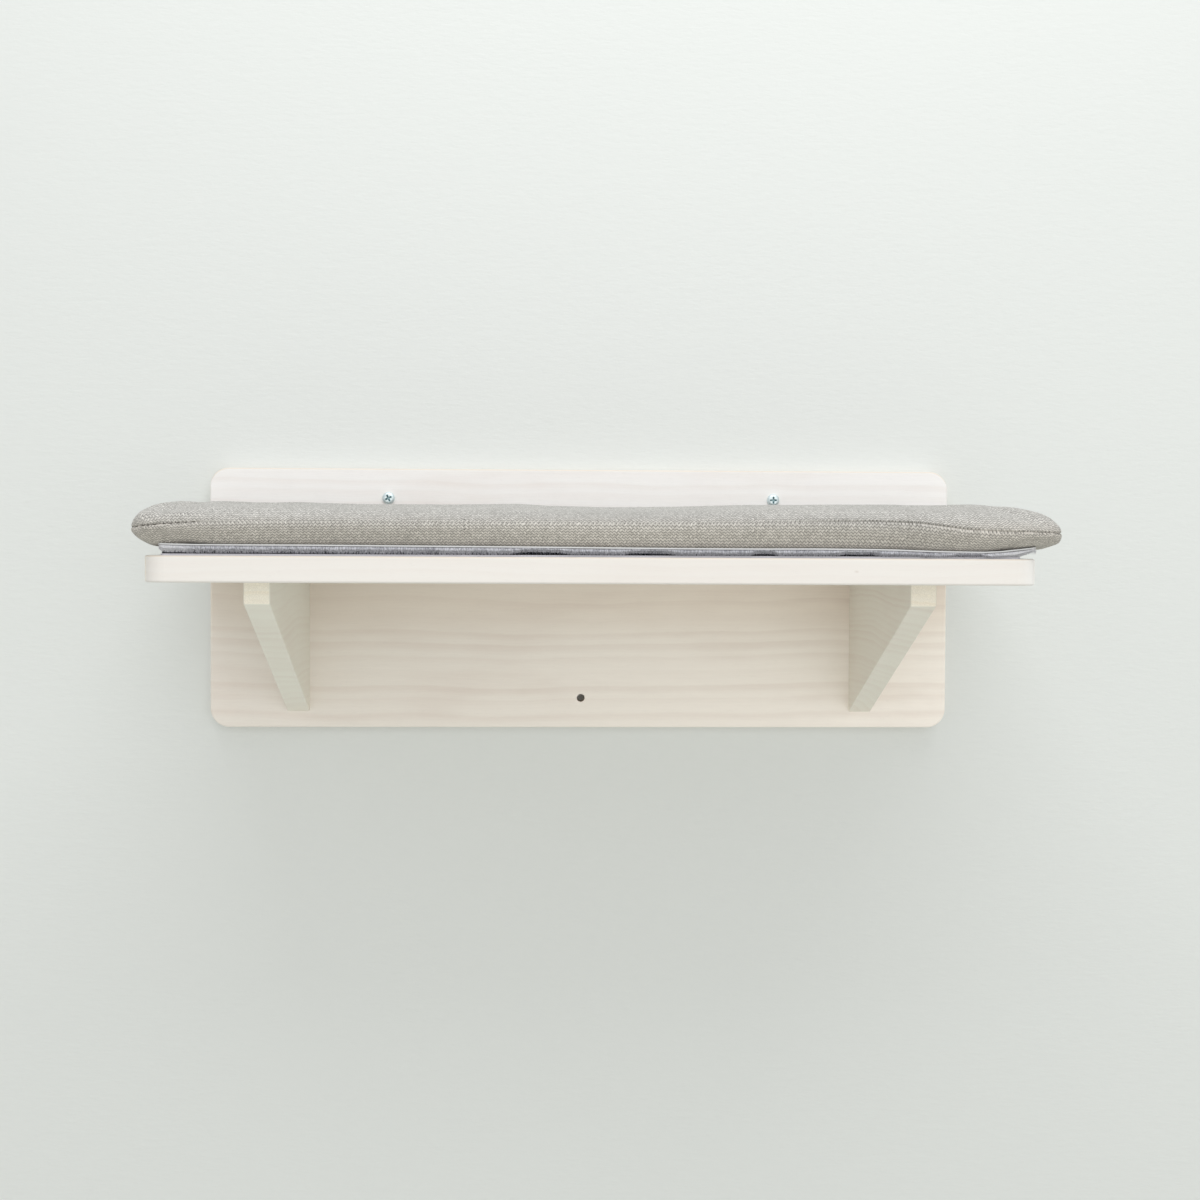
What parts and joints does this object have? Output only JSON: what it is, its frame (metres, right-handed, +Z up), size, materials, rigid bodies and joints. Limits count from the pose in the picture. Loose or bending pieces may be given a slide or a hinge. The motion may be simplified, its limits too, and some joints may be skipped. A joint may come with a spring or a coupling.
{
  "type": "cat wall platform",
  "caption": "Wall shelf for a cat: a white-glazed wood panel carries a deep board on tapering brackets, with a grey seat cushion held by hook-and-loop tape.",
  "frame": {"origin": "centre of the wall panel's back face, which lies on the wall", "axes": "+X to the viewer's right along the panel, +Z up, +Y into the wall, so the shelf stands out towards -Y"},
  "size_m": [0.624, 0.339, 0.21],
  "materials": {
    "glazed_wood": "satin",
    "beech_dowel": "matte",
    "zinc_wall_screw": "satin",
    "zinc_wood_screw": "satin",
    "hook_tape": "matte",
    "loop_tape": "matte",
    "cushion_fabric": "matte",
    "cushion_filling": "matte"
  },
  "bodies": {
    "wall_unit": {"wall_panel": "glazed_wood", "shelf_board": "glazed_wood", "left_bracket": "glazed_wood", "right_bracket": "glazed_wood", "left_shelf_dowel": "beech_dowel", "right_shelf_dowel": "beech_dowel", "left_wall_screw": "zinc_wall_screw", "right_wall_screw": "zinc_wall_screw", "shelf_screw_1": "zinc_wood_screw", "shelf_screw_2": "zinc_wood_screw", "shelf_screw_3": "zinc_wood_screw", "left_bracket_upper_screw": "zinc_wood_screw", "left_bracket_lower_screw": "zinc_wood_screw", "left_bracket_rear_top_screw": "zinc_wood_screw", "left_bracket_front_top_screw": "zinc_wood_screw", "right_bracket_upper_screw": "zinc_wood_screw", "right_bracket_lower_screw": "zinc_wood_screw", "right_bracket_rear_top_screw": "zinc_wood_screw", "right_bracket_front_top_screw": "zinc_wood_screw", "front_hook_tape": "hook_tape", "rear_hook_tape": "hook_tape"},
    "cushion": {"cushion_top_cover": "cushion_fabric", "cushion_bottom_cover": "cushion_fabric", "cushion_filling": "cushion_filling", "front_loop_tape": "loop_tape", "rear_loop_tape": "loop_tape"}
  },
  "joints": [
    {"name": "cushion_lift", "type": "slide", "parent": "wall_unit", "child": "cushion", "axis": [0, 0, 1], "range_m": [0, 0.15]}
  ]
}
